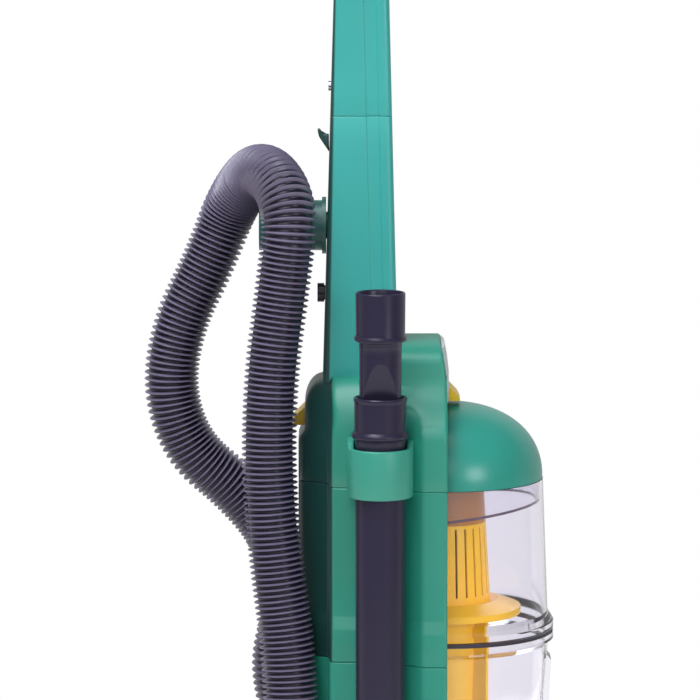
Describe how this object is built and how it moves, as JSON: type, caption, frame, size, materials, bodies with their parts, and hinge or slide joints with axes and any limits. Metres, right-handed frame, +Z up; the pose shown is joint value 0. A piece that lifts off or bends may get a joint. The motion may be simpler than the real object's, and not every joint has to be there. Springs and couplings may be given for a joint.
{
  "type": "upright vacuum cleaner",
  "caption": "Commercial upright vacuum cleaner with a clear cyclone dust cup, ribbed hose over a rear hook, wand with crevice tool, and a wheeled brush-roll foot.",
  "frame": {"origin": "on the floor under the middle of the machine without its hose", "axes": "+X forward, +Y to the left-hand side of the person who pushes it, +Z up along the upright"},
  "size_m": [0.4491, 0.348, 1.118],
  "materials": {
    "teal_plastic": "satin moulded plastic",
    "teal_dark": "satin moulded plastic",
    "yellow_plastic": "satin",
    "black_plastic": "fine grain",
    "purple_plastic": "satin",
    "clear_plastic": "clear moulded plastic with a faint lilac tint",
    "pale_plate": "satin, unmarked",
    "hose_plastic": "ribbed, satin",
    "seal_rubber": "soft",
    "tyre_rubber": "matte",
    "grip_rubber": "matte",
    "belt_rubber": "matte",
    "filter_paper": "pleated",
    "filter_foam": "felt",
    "bristle_nylon": "bristle",
    "brush_wood": "satin",
    "grey_plastic": "matte",
    "steel": "plain",
    "motor_steel": "grey",
    "rotor_metal": "plain"
  },
  "bodies": {
    "foot": {"foot_cover": "teal_plastic", "foot_base": "black_plastic", "furniture_bumper": "seal_rubber", "brush_tunnel": "grey_plastic", "nozzle_duct": "grey_plastic", "pivot_bushes": "grey_plastic", "brush_bearings": "steel", "drive_belt": "belt_rubber", "wheel_axles": "steel", "roller_pins": "steel", "pedal_pin": "steel", "base_screws": "steel"},
    "brush": {"brush_core": "brush_wood", "brush_bristles": "bristle_nylon"},
    "right_wheel": {"right_wheel_hub": "black_plastic", "right_tyre": "tyre_rubber"},
    "left_wheel": {"left_wheel_hub": "black_plastic", "left_tyre": "tyre_rubber"},
    "right_front_roller": {"right_roller": "grey_plastic"},
    "left_front_roller": {"left_roller": "grey_plastic"},
    "pedal": {"release_pedal": "yellow_plastic"},
    "dial": {"height_dial": "yellow_plastic"},
    "upright": {"upper_housing": "teal_plastic", "mid_housing": "teal_plastic", "lower_housing": "teal_plastic", "exhaust_grille": "black_plastic", "exhaust_filter": "filter_foam", "lower_neck": "teal_plastic", "upper_neck": "teal_plastic", "handle_loop": "teal_plastic", "grip_sleeve": "grip_rubber", "hose_hook": "teal_dark", "cord_gland": "black_plastic", "lower_cord_hook": "black_plastic", "switch_box": "black_plastic", "latch_pin": "steel", "badge_plate": "pale_plate", "wand_loop": "teal_plastic", "wand_socket": "teal_plastic", "motor_can": "motor_steel", "motor_mounts": "seal_rubber", "rear_screws": "steel", "neck_screw": "steel", "hose": "hose_plastic", "hose_cuffs": "purple_plastic"},
    "rotor": {"motor_rotor": "rotor_metal"},
    "cord_hook": {"upper_cord_hook": "black_plastic"},
    "power_button": {"power_switch": "yellow_plastic"},
    "latch": {"cup_latch": "yellow_plastic"},
    "cup": {"cup_lid": "teal_plastic", "upper_cup": "clear_plastic", "lower_cup": "clear_plastic", "cup_seal": "seal_rubber", "cyclone_screen": "yellow_plastic", "dirt_plate": "yellow_plastic", "cup_baffle": "yellow_plastic", "filter_cartridge": "filter_paper"},
    "wand": {"wand_tube": "purple_plastic", "wand_collar": "purple_plastic"},
    "tool": {"crevice_tool": "purple_plastic"}
  },
  "joints": [
    {"name": "recline", "type": "hinge", "parent": "foot", "child": "upright", "pos_m": [-0.06, 0, 0.09], "axis": [0, -1, 0], "range_deg": [0, 65]},
    {"name": "rotor_spin", "type": "hinge", "parent": "upright", "child": "rotor", "pos_m": [-0.06, 0, 0.09], "axis": [0, 1, 0], "continuous": true},
    {"name": "brush_spin", "type": "hinge", "parent": "foot", "child": "brush", "pos_m": [0.138, 0, 0.03], "axis": [0, 1, 0], "continuous": true},
    {"name": "right_wheel_spin", "type": "hinge", "parent": "foot", "child": "right_wheel", "pos_m": [-0.127, -0.149, 0.038], "axis": [0, 1, 0], "continuous": true},
    {"name": "left_wheel_spin", "type": "hinge", "parent": "foot", "child": "left_wheel", "pos_m": [-0.127, 0.149, 0.038], "axis": [0, 1, 0], "continuous": true},
    {"name": "right_roller_spin", "type": "hinge", "parent": "foot", "child": "right_front_roller", "pos_m": [0.088, -0.074, 0.012], "axis": [0, 1, 0], "continuous": true},
    {"name": "left_roller_spin", "type": "hinge", "parent": "foot", "child": "left_front_roller", "pos_m": [0.088, 0.074, 0.012], "axis": [0, 1, 0], "continuous": true},
    {"name": "pedal_press", "type": "hinge", "parent": "foot", "child": "pedal", "pos_m": [-0.104, 0.11425, 0.099], "axis": [0, -1, 0], "range_deg": [0, 12], "stiffness_Nm_per_rad": 1, "springref_deg": -5.73},
    {"name": "dial_turn", "type": "hinge", "parent": "foot", "child": "dial", "pos_m": [0.062, -0.112, 0.1], "axis": [0, 0, 1], "range_deg": [0, 270]},
    {"name": "cup_tilt", "type": "hinge", "parent": "upright", "child": "cup", "pos_m": [0, 0, 0.2623], "axis": [0, 1, 0], "range_deg": [0, 8]},
    {"name": "latch_lift", "type": "hinge", "parent": "upright", "child": "latch", "pos_m": [-0.045, 0, 0.628], "axis": [0, -1, 0], "range_deg": [0, 15], "stiffness_Nm_per_rad": 0.3, "springref_deg": -5.73},
    {"name": "switch_press", "type": "slide", "parent": "upright", "child": "power_button", "axis": [1, 0, 0], "range_m": [0, 0.003], "stiffness_N_per_m": 800, "springref_m": -0.002},
    {"name": "cord_hook_swivel", "type": "hinge", "parent": "upright", "child": "cord_hook", "pos_m": [-0.1218, 0, 0.962], "axis": [1, 0, 0], "range_deg": [0, 180]},
    {"name": "wand_lift", "type": "slide", "parent": "upright", "child": "wand", "axis": [0, 0, 1], "range_m": [0, 0.15]},
    {"name": "tool_slide", "type": "slide", "parent": "wand", "child": "tool", "axis": [0, 0, 1], "range_m": [-0.037, 0.12]}
  ],
  "couplings": [
    {"joint": "brush_spin", "follows": "rotor_spin", "ratio": 0.5357}
  ]
}
